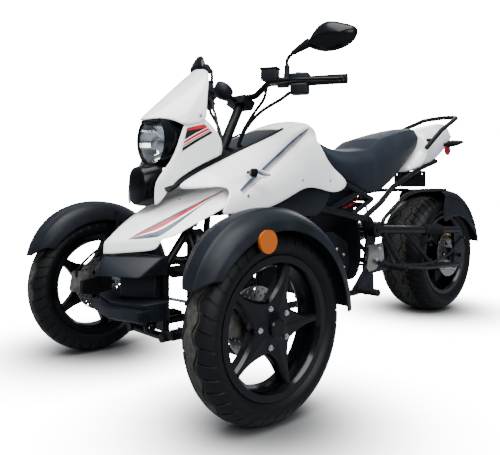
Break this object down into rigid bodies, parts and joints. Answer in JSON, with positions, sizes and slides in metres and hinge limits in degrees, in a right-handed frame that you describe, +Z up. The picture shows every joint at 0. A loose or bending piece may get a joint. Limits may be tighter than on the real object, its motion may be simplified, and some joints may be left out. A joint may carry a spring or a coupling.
{
  "type": "three-wheeled motor scooter",
  "caption": "Sporty open motor trike with two steered, double-wishbone front wheels under fenders, white fairing, step seat, chain-driven wide rear wheel and raised handlebar.",
  "frame": {"origin": "on the floor under the middle of the bounding box", "axes": "+Z up, front towards -Y, left side towards +X"},
  "size_m": [1.1356, 2.2626, 1.2083],
  "materials": {
    "white_paint": "gloss white moulded panels",
    "black_plastic": "satin black moulded plastic",
    "frame_black": "semi-gloss black paint",
    "wheel_black": "gloss black paint on cast wheels",
    "tyre": "road tyre rubber",
    "rubber": "ribbed black rubber",
    "steel": "brushed steel",
    "alloy": "cast alloy",
    "engine_metal": "dark painted castings",
    "seat_cover": "dark vinyl seat cover",
    "lens_clear": "clear lamp lens",
    "lens_red": "red lamp lens",
    "lens_amber": "amber reflector",
    "mirror": "mirror glass"
  },
  "bodies": {
    "chassis": {"frame": "frame_black", "front_frame": "frame_black", "engine": "engine_metal", "exhaust": "steel", "lower_arms": "frame_black", "upper_arms": "frame_black", "front_shocks": "frame_black", "bumper": "black_plastic", "hood": "white_paint", "headlight_cheeks": "white_paint", "visor": "white_paint", "headlight_shell": "black_plastic", "headlight_lens": "lens_clear", "tank_cover": "white_paint", "tank_top": "black_plastic", "side_panels": "black_plastic", "seat": "seat_cover", "tail_cowl": "white_paint", "grab_rail": "frame_black", "tail_light": "lens_red", "rear_signals": "black_plastic", "swing_arm": "frame_black", "rear_shock": "frame_black", "rear_fender": "black_plastic", "rear_brake_hose": "rubber", "plate_holder": "black_plastic", "foot_hangers": "steel", "foot_pegs": "rubber", "chain": "steel", "rear_caliper": "alloy"},
    "steering_column": {"handlebar": "frame_black", "grips": "rubber", "switchgear": "black_plastic", "levers": "frame_black", "mirrors": "black_plastic", "mirror_glass": "mirror", "dash": "black_plastic"},
    "pitman": {"steering_shaft": "frame_black"},
    "knuckle_left": {"knuckle_left": "frame_black", "front_caliper_left": "alloy", "front_fender_left": "black_plastic", "side_reflector_left": "lens_amber"},
    "wheel_left": {"front_rim_left": "wheel_black", "front_tyre_left": "tyre", "front_disc_left": "steel"},
    "tie_rod_left": {"tie_rod_left": "steel"},
    "knuckle_right": {"knuckle_right": "frame_black", "front_caliper_right": "alloy", "front_fender_right": "black_plastic", "side_reflector_right": "lens_amber"},
    "wheel_right": {"front_rim_right": "wheel_black", "front_tyre_right": "tyre", "front_disc_right": "steel"},
    "tie_rod_right": {"tie_rod_right": "steel"},
    "rear_wheel": {"rear_rim": "wheel_black", "rear_tyre": "tyre", "rear_disc": "steel", "rear_sprocket": "steel"}
  },
  "joints": [
    {"name": "steering", "type": "hinge", "parent": "chassis", "child": "steering_column", "pos_m": [0, -0.63021, 0.705], "axis": [0, 0.454, 0.891], "range_deg": [-28, 28]},
    {"name": "lower_shaft", "type": "hinge", "parent": "chassis", "child": "pitman", "pos_m": [0, -0.74048, 0.3], "axis": [0, 0, 1], "range_deg": [-28, 28]},
    {"name": "kingpin_left", "type": "hinge", "parent": "chassis", "child": "knuckle_left", "pos_m": [0.4055, -0.84548, 0.262], "axis": [0, 0, 1], "range_deg": [-28, 28]},
    {"name": "kingpin_right", "type": "hinge", "parent": "chassis", "child": "knuckle_right", "pos_m": [-0.4055, -0.84548, 0.262], "axis": [0, 0, 1], "range_deg": [-28, 28]},
    {"name": "tie_rod_eye_left", "type": "hinge", "parent": "knuckle_left", "child": "tie_rod_left", "pos_m": [0.4055, -0.77048, 0.231], "axis": [0, 0, 1], "range_deg": [-28, 28]},
    {"name": "tie_rod_eye_right", "type": "hinge", "parent": "knuckle_right", "child": "tie_rod_right", "pos_m": [-0.4055, -0.77048, 0.231], "axis": [0, 0, 1], "range_deg": [-28, 28]},
    {"name": "wheel_spin_left", "type": "hinge", "parent": "knuckle_left", "child": "wheel_left", "pos_m": [0.4835, -0.84548, 0.262], "axis": [1, 0, 0], "continuous": true},
    {"name": "wheel_spin_right", "type": "hinge", "parent": "knuckle_right", "child": "wheel_right", "pos_m": [-0.4835, -0.84548, 0.262], "axis": [1, 0, 0], "continuous": true},
    {"name": "rear_wheel_spin", "type": "hinge", "parent": "chassis", "child": "rear_wheel", "pos_m": [0, 0.80252, 0.294], "axis": [1, 0, 0], "continuous": true}
  ],
  "couplings": [
    {"joint": "lower_shaft", "follows": "steering", "ratio": 1},
    {"joint": "kingpin_left", "follows": "steering", "ratio": 1},
    {"joint": "kingpin_right", "follows": "steering", "ratio": 1},
    {"joint": "tie_rod_eye_left", "follows": "steering", "ratio": -1},
    {"joint": "tie_rod_eye_right", "follows": "steering", "ratio": -1}
  ]
}
